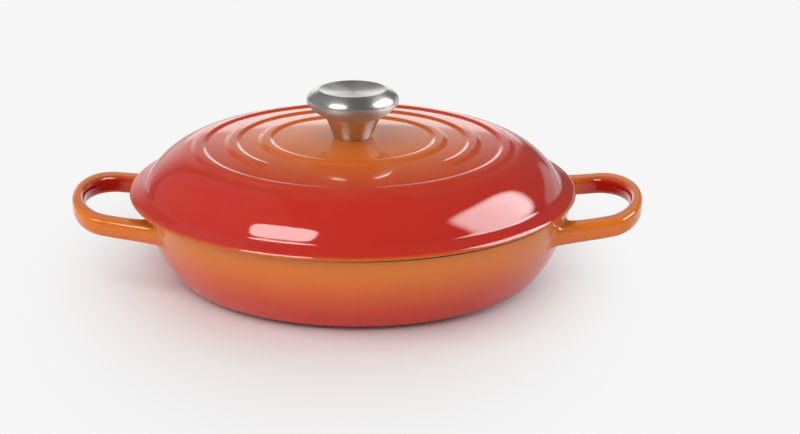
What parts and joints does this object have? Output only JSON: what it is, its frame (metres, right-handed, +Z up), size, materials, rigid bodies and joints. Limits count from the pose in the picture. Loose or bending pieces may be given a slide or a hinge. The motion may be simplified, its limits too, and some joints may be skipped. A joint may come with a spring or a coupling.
{
  "type": "enamelled cast iron pot",
  "caption": "Shallow round enamelled cast iron pot with loop handles cast on, a domed lid with raised rings that lifts off, and a steel knob screwed to the lid.",
  "frame": {"origin": "middle of the flat foot, on the surface the pot stands on", "axes": "+X towards the right handle, +Y away from the viewer, +Z up"},
  "size_m": [0.3532, 0.276, 0.1144],
  "materials": {
    "pot_enamel": "gloss vitreous enamel over cast iron, orange shading to red",
    "lid_enamel": "gloss vitreous enamel over cast iron, red shading to orange",
    "knob_steel": "brushed stainless steel",
    "fastener_steel": "plain stainless steel"
  },
  "bodies": {
    "pot": {"pot_casting": "pot_enamel"},
    "lid": {"lid_casting": "lid_enamel", "knob_head": "knob_steel", "knob_neck": "knob_steel", "knob_insert": "fastener_steel", "knob_screw": "fastener_steel", "flat_washer": "fastener_steel", "spring_washer": "fastener_steel"}
  },
  "joints": [
    {"name": "lid_lift", "type": "slide", "parent": "pot", "child": "lid", "axis": [0, 0, 1], "range_m": [0, 0.15]}
  ]
}
